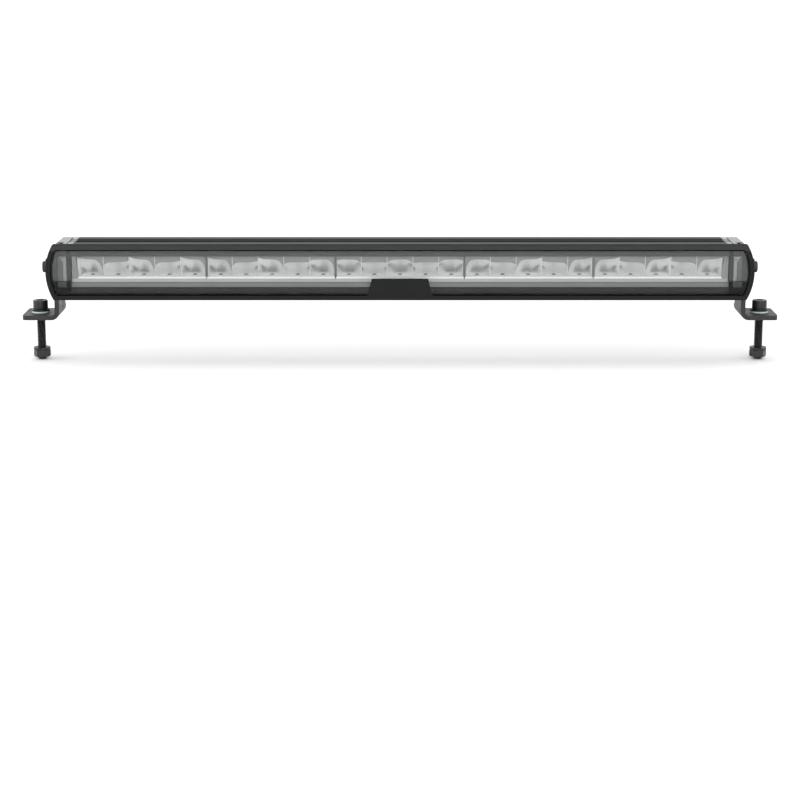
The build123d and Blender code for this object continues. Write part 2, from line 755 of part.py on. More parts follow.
with BuildPart() as right_bracket:
    # the folded strip, seen from the front
    with BuildSketch(Plane.XZ):
        with BuildLine():
            blank_top = body_top + 5
            outer_bend = bend_radius + plate
            toe = bracket_inner + foot_reach
            Polyline((bracket_inner, blank_top), (bracket_inner, outer_bend))
            RadiusArc((bracket_inner, outer_bend), (bracket_inner + outer_bend, 0), -outer_bend)
            foot_start = bracket_inner + outer_bend
            Polyline((foot_start, 0), (toe, 0), (toe, plate), (foot_start, plate))
            RadiusArc((bracket_inner + outer_bend, plate), (bracket_outer, outer_bend), bend_radius)
            Polyline((bracket_outer, outer_bend), (bracket_outer, blank_top), (bracket_inner, blank_top))
        make_face()
    extrude(amount=foot_half_width, both=True)
    # the upright's outline, seen from the end of the bar
    with BuildSketch(Plane(origin=(bracket_inner - 1, pivot_y, pivot_z), x_dir=(0, 1, 0), z_dir=(1, 0, 0))):
        with BuildLine():
            Line((rear_edge, foot_line), (rear_edge, -pivot_z))
            Line((rear_edge, -pivot_z), (front_edge, -pivot_z))
            Line((front_edge, -pivot_z), brow)
            Line(brow, crown_end)
            CenterArc(crown_centre, edge_margin, slot_high_angle, crown_angle - slot_high_angle)
            CenterArc((0, 0), rim_radius, scallop_start, slot_high_angle - scallop_start)
            CenterArc((scallop_x, scallop_drop), scallop_radius, 180 + scallop_start,
                      scallop_turn - scallop_start)
        upright = make_face()
        fillet(upright.vertices().sort_by_distance(Vector(*brow))[0], 6.5)
        Circle(pivot_hole_radius, mode=Mode.SUBTRACT)
        SlotArc(Edge.make_circle(slot_radius, start_angle=slot_low_angle, end_angle=slot_high_angle),
                slot_width, mode=Mode.SUBTRACT)
    extrude(amount=foot_reach + 2, mode=Mode.INTERSECT)
    fillet(right_bracket.edges().filter_by(Axis.Z).sort_by(Axis.X)[-2:], 4.0)
    with BuildSketch(Plane.XY):
        with Locations((foot_hole_x, 0)):
            Circle(foot_hole_radius)
    extrude(amount=plate, mode=Mode.SUBTRACT)
save(right_bracket, "right_bracket")
save_mirrored(right_bracket, "left_bracket")

# --- M6 sets: two screws an end, each with a spring, a flat and a nylon washer
nylon_x = bracket_outer + side_gap
flat_x = nylon_x + m6_nylon[2]
spring_x = flat_x + m6_flat[2]
head_x = spring_x + m6_spring[2]


def m6_places(x):
    """The four screw places at a distance x from the bar's middle, each facing outwards."""
    places = []
    for side in (-1, 1):
        for y, z in m6_points:
            places.append(Plane(origin=(side * x, y, z), x_dir=(0, side, 0), z_dir=(side, 0, 0)).location)
    return places


m6_screw = cap_screw(3.0, m6_length)
with BuildPart() as m6_screws:
    with Locations(*m6_places(head_x)):
        add(m6_screw)
save(m6_screws, "m6_screws")

m6_spring_ring = spring_ring(*m6_spring)
with BuildPart() as m6_spring_washers:
    with Locations(*m6_places(spring_x)):
        add(m6_spring_ring)
save(m6_spring_washers, "m6_spring_washers")

m6_flat_ring = ring(*m6_flat)
with BuildPart() as m6_flat_washers:
    with Locations(*m6_places(flat_x)):
        add(m6_flat_ring)
save(m6_flat_washers, "m6_flat_washers")

m6_nylon_ring = ring(*m6_nylon)
with BuildPart() as m6_nylon_washers:
    with Locations(*m6_places(nylon_x)):
        add(m6_nylon_ring)
save(m6_nylon_washers, "m6_nylon_washers")

# --- M8 set in each foot: screw and washers above, spring washer and nut near the tip
m8_flat_z = plate + m8_nylon[2]
m8_head_z = m8_flat_z + m8_flat[2]
m8_nut_z = m8_head_z - m8_length + m8_tip
m8_spring_z = m8_nut_z + m8_nut_height
m8_screw = cap_screw(4.0, m8_length)
m8_flat_ring = ring(*m8_flat)
m8_nylon_ring = ring(*m8_nylon)
m8_spring_ring = spring_ring(*m8_spring)

with BuildPart() as m8_nut:
    with BuildSketch():
        RegularPolygon(m8_nut_flats / 2, 6, major_radius=False)
    extrude(amount=m8_nut_height)
    # chamfered corners: the hexagon cut by a turned disc
    with BuildSketch(Plane.XZ):
        with BuildLine():
            Polyline((0, 0), (face_radius, 0), (corner_radius, 0.8), (corner_radius, m8_nut_height - 0.8),
                     (face_radius, m8_nut_height), (0, m8_nut_height), close=True)
        make_face()
    revolve(axis=Axis.Z, mode=Mode.INTERSECT)
    with BuildSketch():
        Circle(4.05)
    extrude(amount=m8_nut_height, mode=Mode.SUBTRACT)

m8_set = {
    "m8_screw": (m8_screw, m8_head_z),
    "m8_flat_washer": (m8_flat_ring, m8_flat_z),
    "m8_nylon_washer": (m8_nylon_ring, plate),
    "m8_spring_washer": (m8_spring_ring, m8_spring_z),
    "m8_nut": (m8_nut.part, m8_nut_z),
}
for side_name, side in (("left", -1), ("right", 1)):
    for piece_name, (shape, height) in m8_set.items():
        with BuildPart() as fastener:
            with Locations((side * foot_hole_x, 0, height)):
                add(shape)
        save(fastener, f"{side_name}_{piece_name}")
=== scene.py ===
# LED light bar on its two brackets: finishes, reflector cups, LED packages, guides, threads and the studio.
# Metres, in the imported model's frame: X along the bar, the lamp shines towards -Y, Z is up.
import math

import bpy
import numpy as np
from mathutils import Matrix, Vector


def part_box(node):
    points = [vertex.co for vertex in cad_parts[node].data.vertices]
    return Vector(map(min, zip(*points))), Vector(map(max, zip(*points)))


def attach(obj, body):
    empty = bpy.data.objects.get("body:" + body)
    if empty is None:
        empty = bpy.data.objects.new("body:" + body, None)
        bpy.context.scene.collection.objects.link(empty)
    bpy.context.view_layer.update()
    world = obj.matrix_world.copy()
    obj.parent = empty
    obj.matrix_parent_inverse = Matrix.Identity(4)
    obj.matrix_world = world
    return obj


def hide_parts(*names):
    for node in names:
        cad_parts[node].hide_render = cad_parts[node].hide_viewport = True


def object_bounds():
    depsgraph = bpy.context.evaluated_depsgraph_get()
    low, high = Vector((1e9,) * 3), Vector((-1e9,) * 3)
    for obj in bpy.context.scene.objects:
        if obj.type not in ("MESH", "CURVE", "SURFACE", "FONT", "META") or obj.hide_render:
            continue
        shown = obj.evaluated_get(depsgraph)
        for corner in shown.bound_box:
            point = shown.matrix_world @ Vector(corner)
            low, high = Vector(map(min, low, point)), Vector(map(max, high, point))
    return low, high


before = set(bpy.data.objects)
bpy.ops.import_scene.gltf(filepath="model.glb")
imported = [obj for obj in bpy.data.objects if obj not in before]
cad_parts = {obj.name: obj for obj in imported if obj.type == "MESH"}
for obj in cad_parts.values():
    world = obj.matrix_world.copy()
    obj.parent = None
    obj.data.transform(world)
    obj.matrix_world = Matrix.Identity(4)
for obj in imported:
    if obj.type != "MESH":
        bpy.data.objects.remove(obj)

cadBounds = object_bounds()
mm = 0.001
bezelLow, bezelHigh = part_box("front_bezel")
lampMiddle = (bezelLow + bezelHigh) / 2
lampFront = bezelLow.y
print("frame loaded:", len(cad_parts), "nodes")


# Camera
cameraLook = {
    "distance": 1.8,       # from the bezel's face
    "rise": 9.2,           # degrees above level
    "frameWidth": 0.692,   # metres across the picture at the bezel's face
    "barRaise": 0.1586,    # how far above the picture's middle the bar sits, as a share of its height
}


def placeCamera(look):
    # lens = sensor width * distance / frame width; the camera stands back along the line of sight
    camera = bpy.data.objects.new("camera", bpy.data.cameras.new("camera"))
    bpy.context.scene.collection.objects.link(camera)
    camera.data.sensor_width = 36.0
    camera.data.lens = camera.data.sensor_width * look["distance"] / look["frameWidth"]
    above = math.atan(look["barRaise"] * look["frameWidth"] / look["distance"])
    rise = math.radians(look["rise"])
    reach = look["distance"] / math.cos(above)
    aim = Vector((0, lampFront, lampMiddle.z))
    camera.location = aim + reach * Vector((0, -math.cos(rise), math.sin(rise)))
    camera.rotation_euler = (math.pi / 2 - rise - above, 0, 0)
    camera.data.clip_end = 50
    bpy.context.scene.camera = camera


placeCamera(cameraLook)


# Meshes
def skin(rings, firstPole=None, lastPole=None):
    # Skin over a stack of closed rings: quads from point j of ring i to point j + 1 of ring i + 1. With poles
    # it gets a fan at each end; without them the last ring joins the first, as on a closed tube.
    count, around = rings.shape[:2]
    closed = firstPole is None
    points = rings.reshape(-1, 3) if closed else np.vstack([rings.reshape(-1, 3), firstPole, lastPole])
    row, column = np.meshgrid(np.arange(count if closed else count - 1), np.arange(around), indexing="ij")
    ahead = (column + 1) % around
    following = (row + 1) % count
    quads = np.stack([row * around + column, row * around + ahead,
                      following * around + ahead, following * around + column], -1).reshape(-1, 4)
    here = np.arange(around)
    there = (here + 1) % around
    top = (count - 1) * around
    fans = np.vstack([np.stack([there, here, np.full(around, count * around)], -1),
                      np.stack([top + here, top + there, np.full(around, count * around + 1)], -1)])
    if closed:
        fans = fans[:0]
    # six times the volume = sum of a . (b x c) over the triangles; if it is negative, the faces point inwards
    corners = points[np.vstack([quads[:, :3], quads[:, [0, 2, 3]], fans])]
    volume = np.einsum("ij,ij->i", corners[:, 0], np.cross(corners[:, 1], corners[:, 2])).sum()
    if volume < 0:
        quads = quads[:, ::-1]
        fans = fans[:, ::-1]
    return points, quads, fans


def makePiece(name, skins, finishList, sharpAngle=35.0):
    # One mesh from several skins; each skin is (points, quads, fans, finish number of each quad, of the fans)
    points, faces, numbers = [], [], []
    start = 0
    for skinPoints, quads, fans, quadFinish, fanFinish in skins:
        points.append(skinPoints)
        faces += (quads + start).tolist() + (fans + start).tolist()
        numbers += [np.broadcast_to(quadFinish, len(quads)), np.full(len(fans), fanFinish)]
        start += len(skinPoints)
    mesh = bpy.data.meshes.new(name)
    mesh.from_pydata(np.vstack(points).tolist(), [], faces)
    mesh.polygons.foreach_set("material_index", np.concatenate(numbers).astype(np.int32))
    mesh.polygons.foreach_set("use_smooth", np.ones(len(mesh.polygons), bool))
    mesh.set_sharp_from_angle(angle=math.radians(sharpAngle))
    for finish in finishList:
        mesh.materials.append(finish)
    mesh.update()
    piece = bpy.data.objects.new(name, mesh)
    bpy.context.scene.collection.objects.link(piece)
    return piece


def standFor(piece, nodes, body):
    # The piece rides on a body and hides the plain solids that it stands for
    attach(piece, body)
    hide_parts(*nodes)


def turned(radii, heights, origin, direction, closed=False):
    # Rings about an axis: point = origin + radius * (u cos a + v sin a) + height * direction
    axis = np.array(direction, float)
    u = np.array((0.0, 0.0, 1.0)) if abs(axis[2]) < 0.5 else np.array((1.0, 0.0, 0.0))
    v = np.cross(axis, u)
    angle = np.linspace(0, 2 * np.pi, radii.shape[1], endpoint=False)
    spokes = np.cos(angle)[:, None] * u + np.sin(angle)[:, None] * v
    rings = np.array(origin) + radii[..., None] * spokes + heights[..., None] * axis
    if closed:
        return skin(rings)
    first = np.array(origin) + heights[0].mean() * axis
    last = np.array(origin) + heights[-1].mean() * axis
    return skin(rings, first, last)


# Finishes: two colours, how fine their patches are, roughness, and the grain's fineness and depth in mm
finishLooks = {
    "coatedAluminium": dict(dark=(.022, .023, .023), light=(.034, .035, .035), patch=38, rough=(.56, .68),
                            grain=2600, bump=.030, stretch=(.12, 1, 1), sockets={"Specular IOR Level": .22}),
    "castCap": dict(dark=(.28, .282, .282), light=(.36, .362, .362), patch=90, rough=(.42, .54),
                    grain=2200, bump=.035, sockets={"Metallic": .35, "Specular IOR Level": .4}),
    "bezelBlack": dict(dark=(.011, .0115, .0115), light=(.015, .0155, .0155), patch=60, rough=(.66, .76),
                       grain=3200, bump=.028, sockets={"Specular IOR Level": .08}),
    "trimSmoke": dict(dark=(.078, .080, .080), light=(.092, .094, .094), patch=70, rough=(.46, .54),
                      grain=1500, bump=.008, sockets={"Specular IOR Level": .15}),
    "rubber": dict(dark=(.010, .010, .010), light=(.016, .016, .016), patch=120, rough=(.72, .82),
                   grain=3000, bump=.03, sockets={"Specular IOR Level": .3}),
    "guidePlastic": dict(dark=(.24, .245, .245), light=(.30, .305, .30), patch=200, rough=(.25, .35),
                         grain=1500, bump=.02, sockets={"Subsurface Weight": .3, "Subsurface Scale": .004}),
    "mirrorCup": dict(dark=(.90, .905, .905), light=(.98, .985, .985), patch=220, rough=(.21, .25),
                      grain=1800, bump=.012, stretch=(4, .5, .5), sockets={"Metallic": .85}),
    "flangeGrey": dict(dark=(.20, .203, .203), light=(.26, .263, .262), patch=240, rough=(.40, .50),
                       grain=1900, bump=.03, sockets={"Metallic": .15}),
    "whiteEdge": dict(dark=(.66, .665, .665), light=(.76, .765, .765), patch=300, rough=(.30, .40),
                      grain=1700, bump=.02, sockets={}),
    "whiteBoard": dict(dark=(.66, .665, .66), light=(.80, .805, .80), patch=260, rough=(.36, .46),
                       grain=1600, bump=.02, sockets={}),
    "greenBoard": dict(dark=(.012, .085, .035), light=(.020, .13, .055), patch=420, rough=(.28, .40),
                       grain=1200, bump=.04, sockets={}),
    "ledBody": dict(dark=(.10, .10, .095), light=(.15, .148, .14), patch=900, rough=(.35, .45),
                    grain=3000, bump=.02, sockets={}),
    "phosphor": dict(dark=(.040, .037, .024), light=(.070, .066, .042), patch=1500, rough=(.30, .42),
                     grain=5000, bump=.03, sockets={}),
    "copperCoil": dict(dark=(.42, .16, .06), light=(.62, .28, .12), patch=900, rough=(.30, .42),
                       grain=900, bump=.12, sockets={"Metallic": .9}),
    "canSilver": dict(dark=(.55, .56, .57), light=(.68, .69, .70), patch=500, rough=(.25, .35),
                      grain=2500, bump=.02, sockets={"Metallic": .9}),
    "chipBlack": dict(dark=(.012, .012, .013), light=(.020, .020, .021), patch=800, rough=(.45, .6),
                      grain=4000, bump=.03, sockets={}),
    "brass": dict(dark=(.52, .36, .13), light=(.66, .48, .19), patch=500, rough=(.26, .36),
                  grain=2000, bump=.02, sockets={"Metallic": 1.0}),
    "zincScrew": dict(dark=(.42, .43, .44), light=(.55, .56, .57), patch=600, rough=(.28, .4),
                      grain=2400, bump=.03, sockets={"Metallic": .95}),
    "leadSheath": dict(dark=(.30, .012, .010), light=(.42, .020, .016), patch=300, rough=(.42, .52),
                       grain=1500, bump=.03, sockets={}),
    "glandPlastic": dict(dark=(.013, .013, .014), light=(.021, .021, .022), patch=200, rough=(.40, .52),
                         grain=2600, bump=.035, sockets={"Specular IOR Level": .4}),
    "membrane": dict(dark=(.72, .73, .73), light=(.84, .85, .85), patch=900, rough=(.8, .9),
                     grain=4000, bump=.05, sockets={}),
    "bracketCoat": dict(dark=(.011, .011, .012), light=(.019, .019, .020), patch=75, rough=(.40, .54),
                        grain=1900, bump=.060, sockets={"Specular IOR Level": .42}),
    "blackSteel": dict(dark=(.016, .016, .017), light=(.032, .031, .031), patch=320, rough=(.30, .46),
                       grain=2100, bump=.030, sockets={"Metallic": .35, "Specular IOR Level": .5}),
    "nylon": dict(dark=(.72, .73, .72), light=(.84, .85, .84), patch=420, rough=(.28, .40),
                  grain=2200, bump=.02, sockets={"Subsurface Weight": .5, "Subsurface Scale": .003}),
}
noiseLook = {
    "patchDetail": 5, "patchLow": .35, "patchHigh": .65,   # the part of the noise that roughness follows
    "grainDetail": 2, "bumpStrength": .6,
}


def addNode(tree, kind, values, **settings):
    # A shader node; its settings come first, because they decide which sockets the values go to
    node = tree.nodes.new("ShaderNode" + kind)
    for name, value in settings.items():
        setattr(node, name, value)
    for socket, value in values.items():
        node.inputs[socket].default_value = value
    return node


def newMaterial(name):
    # A material and its node tree
    material = bpy.data.materials.new(name)
    material.use_nodes = True
    return material, material.node_tree


def makeFinish(name, look):
    # Colour and roughness wander together with a broad noise, and a fine noise gives the grain as bump
    material, tree = newMaterial(name)
    shader = tree.nodes["Principled BSDF"]
    for socket, value in look["sockets"].items():
        shader.inputs[socket].default_value = value
    coordinates = addNode(tree, "TexCoord", {})
    stretch = addNode(tree, "Mapping", {"Scale": look.get("stretch", (1, 1, 1))})
    patches = addNode(tree, "TexNoise", {"Scale": look["patch"], "Detail": noiseLook["patchDetail"]})
    blend = addNode(tree, "Mix", {"A": (*look["dark"], 1), "B": (*look["light"], 1)}, data_type="RGBA")
    spread = addNode(tree, "MapRange", {
        "From Min": noiseLook["patchLow"], "From Max": noiseLook["patchHigh"],
        "To Min": look["rough"][0], "To Max": look["rough"][1]})
    grain = addNode(tree, "TexNoise", {"Scale": look["grain"], "Detail": noiseLook["grainDetail"]})
    bump = addNode(tree, "Bump", {"Strength": noiseLook["bumpStrength"], "Distance": look["bump"] * mm})
    tree.links.new(coordinates.outputs["Object"], stretch.inputs["Vector"])
    tree.links.new(stretch.outputs["Vector"], patches.inputs["Vector"])
    tree.links.new(patches.outputs["Fac"], blend.inputs["Factor"])
    tree.links.new(blend.outputs["Result"], shader.inputs["Base Color"])
    tree.links.new(patches.outputs["Fac"], spread.inputs["Value"])
    tree.links.new(spread.outputs["Result"], shader.inputs["Roughness"])
    tree.links.new(coordinates.outputs["Object"], grain.inputs["Vector"])
    tree.links.new(grain.outputs["Fac"], bump.inputs["Height"])
    tree.links.new(bump.outputs["Normal"], shader.inputs["Normal"])
    return material


def combine(tree, operation, first, second):
    # One number from two
    node = addNode(tree, "Math", {}, operation=operation)
    tree.links.new(first, node.inputs[0])
    tree.links.new(second, node.inputs[1])
    return node.outputs[0]


def within(tree, axis, low, high):
    # 1 where the object coordinate along an axis lies between two limits, else 0: (c > low) * (c < high)
    coordinates = addNode(tree, "TexCoord", {})
    parts = addNode(tree, "SeparateXYZ", {})
    above = addNode(tree, "Math", {1: low}, operation="GREATER_THAN")
    below = addNode(tree, "Math", {1: high}, operation="LESS_THAN")
    tree.links.new(coordinates.outputs["Object"], parts.inputs["Vector"])
    for test in (above, below):
        tree.links.new(parts.outputs[axis], test.inputs[0])
    return combine(tree, "MULTIPLY", above.outputs[0], below.outputs[0])


def paintZone(material, tint, *limits):
    # The base colour is multiplied by a tint inside a box of object coordinates
    tree = material.node_tree
    colour = tree.nodes["Principled BSDF"].inputs["Base Color"]
    source = colour.links[0].from_socket
    mask = within(tree, *limits[0])
    for limit in limits[1:]:
        mask = combine(tree, "MULTIPLY", mask, within(tree, *limit))
    paint = addNode(tree, "Mix", {"B": (tint, tint, tint, 1)}, data_type="RGBA", blend_type="MULTIPLY")
    tree.links.new(mask, paint.inputs["Factor"])
    tree.links.new(source, paint.inputs["A"])
    tree.links.new(paint.outputs["Result"], colour)


def bothSides(near, far):
    # The same stretch of X on the left and on the right of the bar's middle
    return ("X", -far, -near), ("X", near, far)


finishes = {name: makeFinish(name, look) for name, look in finishLooks.items()}

# Painted zones: a tint over 1 makes a finish paler, and places along X are distances from the bar's middle
farOff = 1.0                                   # a limit past the end of everything
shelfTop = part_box("led_board_1")[0].z
zoneLook = {
    "noseTint": 13.0, "noseHeight": 3.2 * mm, "noseGap": .1 * mm,      # nose of the shelf under the boards
    "endTint": 12.0, "endFrom": 284.6 * mm, "endTo": 290 * mm, "endHeight": 4.3 * mm,    # extrusion's ends
    # the grooves in the top are darkened with painted shade
    "grooveShadeTint": .1, "grooveFloor": 4.2 * mm, "grooveTop": .5 * mm, "grooveFront": -32 * mm,
    # a painted highlight along the land in front of the grooves
    "landHighlightTint": 3.0, "landHeight": .3 * mm, "landFront": -34 * mm, "landBack": -28.5 * mm,
    "notchShadeTint": .02, "notchFrom": 293.2 * mm, "notchTo": 300.2 * mm,  # notches of the end caps, filled with painted shade
    "notchFront": -34.2 * mm, "notchBack": -23 * mm,
    "bandLightTint": 2.6, "bandFoot": 19 * mm, "bandDepth": .3 * mm,        # upper band of the bezel's face, made paler with painted light
    "windowDrop": 9.3 * mm, "windowOverlap": .4 * mm, "faceDepth": .05 * mm,    # the trim's window
    "sillTint": .13, "slopeTint": 2.05, "slopeHeight": 3.8 * mm,
    "postTint": .62, "postFrom": 285.3 * mm, "postTo": 289.0 * mm,
    # painted light on the floors of the guide pockets at both ends, lifting their shade
    "pocketLightTint": 1.7, "cornerFrom": 289.2 * mm, "cornerTo": 297.5 * mm, "cornerDepth": 1.5 * mm,
    "lineTint": 1.35, "lineFoot": 1.2 * mm, "lineTop": 1.9 * mm,
}


def paintHousing(look):
    # Bare metal on the shelf's nose and the extrusion's ends, painted shade in the grooves in its top, and a
    # painted highlight on the land in front
    coat = finishes["coatedAluminium"]
    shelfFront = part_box("bezel_seal")[1].y
    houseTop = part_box("housing")[1].z
    paintZone(coat, look["noseTint"], ("Y", -farOff, shelfFront - look["noseGap"]),
              ("Z", shelfTop - look["noseHeight"], shelfTop + look["noseGap"]))
    for stretch in bothSides(look["endFrom"], look["endTo"]):
        paintZone(coat, look["endTint"], stretch, ("Z", houseTop - look["endHeight"], farOff))
    between = ("X", -look["endFrom"], look["endFrom"])
    # painted shade inside the grooves along the top
    paintZone(coat, look["grooveShadeTint"], between, ("Y", look["grooveFront"], farOff),
              ("Z", houseTop - look["grooveFloor"], houseTop - look["grooveTop"]))
    # painted highlight on the land in front of the grooves
    paintZone(coat, look["landHighlightTint"], between, ("Y", look["landFront"], look["landBack"]),
              ("Z", houseTop - look["landHeight"], farOff))


def paintFront(look):
    # Painted shade in the notches of the end caps, and painted light that makes the upper band of the bezel
    # paler than the lower one
    notchDepth = ("Y", look["notchFront"], look["notchBack"])
    # painted shade filling the notches of both end caps
    for stretch in bothSides(look["notchFrom"], look["notchTo"]):
        paintZone(finishes["castCap"], look["notchShadeTint"], stretch, notchDepth)
    # painted light on the upper band of the bezel's face
    paintZone(finishes["bezelBlack"], look["bandLightTint"], ("Z", lampMiddle.z + look["bandFoot"], farOff),
              ("Y", -farOff, lampFront + look["bandDepth"]))


def paintTrim(look):
    # Dark below the window, a paler slope under the boards, dark posts, painted light that lifts the shade in
    # the corner pockets and a fine line over all
    smoke = finishes["trimSmoke"]
    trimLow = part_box("inner_trim")[0]
    windowLow = lampMiddle.z - look["windowDrop"]
    sillTop = windowLow + look["windowOverlap"]
    faceBack = trimLow.y + look["faceDepth"]
    paintZone(smoke, look["sillTint"], ("Z", trimLow.z, sillTop), ("Y", -farOff, faceBack))
    paintZone(smoke, look["slopeTint"], ("Z", windowLow - look["slopeHeight"], sillTop),
              ("Y", faceBack, farOff))
    for stretch in bothSides(look["postFrom"], look["postTo"]):
        paintZone(smoke, look["postTint"], stretch)
    # painted light on the pocket floors at both ends, lifting the shade that falls in them
    for stretch in bothSides(look["cornerFrom"], look["cornerTo"]):
        paintZone(smoke, look["pocketLightTint"], stretch, ("Y", trimLow.y + look["cornerDepth"], farOff))
    paintZone(smoke, look["lineTint"], ("Z", windowLow + look["lineFoot"], windowLow + look["lineTop"]))


paintHousing(zoneLook)
paintFront(zoneLook)
paintTrim(zoneLook)


# Lens: clear, with a faint smoke tint; light from lamps passes through
lensLook = {
    "tint": (.95, .954, .954), "roughness": .02,
    "straight": .014, "grazing": .5, "steepness": 5,     # share of gloss, straight on and at a graze
    "smoke": (.62, .625, .625), "cornerShadeFrom": 285.4 * mm, "cornerShadeTop": -7.2 * mm,    # painted shade in the lower corners
    "ink": (.006, .006, .006), "inkWidth": .55 * mm,     # line along the upper and lower edges
}


def makeLens(look):
    # A see-through shader mixed with a sharp gloss, whose share is straight + grazing * (1 - cos)^steepness.
    # Its tint turns to the smoke colour, which is painted shade, in both lower corners, and a printed black
    # line runs along the long edges.
    material, tree = newMaterial("clearLens")
    tree.nodes.remove(tree.nodes["Principled BSDF"])
    clear = addNode(tree, "BsdfTransparent", {"Color": (*look["tint"], 1)})
    gloss = addNode(tree, "BsdfGlossy", {"Roughness": look["roughness"]})
    ink = addNode(tree, "BsdfDiffuse", {"Color": (*look["ink"], 1)})
    facing = addNode(tree, "LayerWeight", {"Blend": .5})
    steep = addNode(tree, "Math", {1: look["steepness"]}, operation="POWER")
    share = addNode(tree, "Math", {1: look["grazing"], 2: look["straight"]}, operation="MULTIPLY_ADD")
    smoke = addNode(tree, "Mix", {"A": (*look["smoke"], 1), "B": (*look["tint"], 1)}, data_type="RGBA")
    blend = addNode(tree, "MixShader", {})
    edge = addNode(tree, "MixShader", {})
    tree.links.new(facing.outputs["Facing"], steep.inputs[0])
    tree.links.new(steep.outputs[0], share.inputs[0])
    tree.links.new(share.outputs[0], blend.inputs["Fac"])
    tree.links.new(clear.outputs["BSDF"], blend.inputs[1])
    tree.links.new(gloss.outputs["BSDF"], blend.inputs[2])
    # painted shade: the smoke colour shows only in the lower corners, outside both masks
    middle = within(tree, "X", -look["cornerShadeFrom"], look["cornerShadeFrom"])
    upper = within(tree, "Z", lampMiddle.z + look["cornerShadeTop"], farOff)
    tree.links.new(combine(tree, "MAXIMUM", middle, upper), smoke.inputs["Factor"])
    tree.links.new(smoke.outputs["Result"], clear.inputs["Color"])
    low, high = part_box("lens")
    inside = within(tree, "Z", low.z + look["inkWidth"], high.z - look["inkWidth"])
    tree.links.new(inside, edge.inputs["Fac"])
    tree.links.new(ink.outputs["BSDF"], edge.inputs[1])
    tree.links.new(blend.outputs["Shader"], edge.inputs[2])
    tree.links.new(edge.outputs["Shader"], tree.nodes["Material Output"].inputs["Surface"])
    return material


finishes["clearLens"] = makeLens(lensLook)
print("finishes made:", len(finishes))

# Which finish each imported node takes: the first pair whose word is in the node's name
nodeFinishes = [
    ("nylon", "nylon"), ("gasket", "rubber"), ("seal", "rubber"), ("m6_", "blackSteel"),
    ("m8_", "blackSteel"), ("bracket", "bracketCoat"), ("housing", "coatedAluminium"),
    ("screws", "zincScrew"), ("end_cap", "castCap"), ("front_bezel", "bezelBlack"),
    ("lens", "clearLens"), ("trim", "trimSmoke"), ("guide", "guidePlastic"),
    ("position_board", "greenBoard"), ("driver_board", "greenBoard"), ("led_board", "whiteBoard"),
    ("position_leds", "ledBody"), ("led_chips", "ledBody"), ("spacers", "brass"), ("coils", "copperCoil"),
    ("capacitors", "canSilver"), ("driver_chips", "chipBlack"), ("leads", "leadSheath"),
    ("membrane", "membrane"), ("gland", "glandPlastic"), ("vent", "glandPlastic"),
    ("reflector", "flangeGrey"),
]
for nodeName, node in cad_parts.items():
    finish = next(finishes[value] for word, value in nodeFinishes if word in nodeName)
    if not node.material_slots:
        node.data.materials.append(finish)
    for slot in node.material_slots:
        slot.material = finish
print("packed nodes finished")


# Reflector cups: each is a parabola carried across its cell
cupLook = {
    "modules": 5, "cells": 5, "cellPitch": 22.4 * mm,
    "share": .984,                             # of the pitch that the cup takes; the rest is a thin wall
    "tall": 15.0 * mm, "low": 12.5 * mm,       # heights above the board, tall and low by turns
    "depth": 17.0 * mm, "ridge": .38,          # and the share of it that is left where two cups meet
    "shoulder": 12.1 * mm,                     # height where neighbours meet near the bar's middle
    "horn": 17.2 * mm, "crest": 13.9 * mm,     # raised sides of tall and low cups nearer to the bar's ends
    "tallDip": 5.0 * mm, "lowDip": 9.2 * mm,   # and the side that falls away
    "innerEnd": 5.0 * mm, "outerEnd": 13.1 * mm,            # sides at both ends of a module
    "leanStart": .045, "leanFull": .135,       # distances from the bar's middle where that begins and is full
    "raisedPower": 2.0, "tallPower": 3.6, "lowPower": 5.0, "depthPower": 2.5,
    "endWall": .8 * mm, "wallFace": .4 * mm,
    "sideBlock": 5.2 * mm, "lightEdge": 1.0 * mm, "blockStep": .3 * mm,     # outermost wall of the row
    "flare": 2.4 * mm, "flareReach": .3,       # lean of its inner side, and the share of a cell it fades over
    "blockGap": .1 * mm, "lip": .4 * mm, "hair": .01 * mm,
    "flutes": 5, "fluteHeight": .035 * mm,
    "across": 33, "deep": 20,                  # points over a cup and down it
}


def sideHeight(look, tall, outer, atEnd, place):
    # Height where a cup meets its neighbour: from the shoulder to a horn or crest on one side and to a dip on
    # the other, and at a module's ends from the outer end to a horn, or the inner end's fixed height
    lean = min(max((abs(place) - look["leanStart"]) / (look["leanFull"] - look["leanStart"]), 0), 1)
    if atEnd:
        return look["outerEnd"] + (look["horn"] - look["outerEnd"]) * lean if outer else look["innerEnd"]
    raised = look["horn"] if tall else look["crest"]
    goal = raised if tall == outer else look["tallDip" if tall else "lowDip"]
    return look["shoulder"] + (goal - look["shoulder"]) * lean


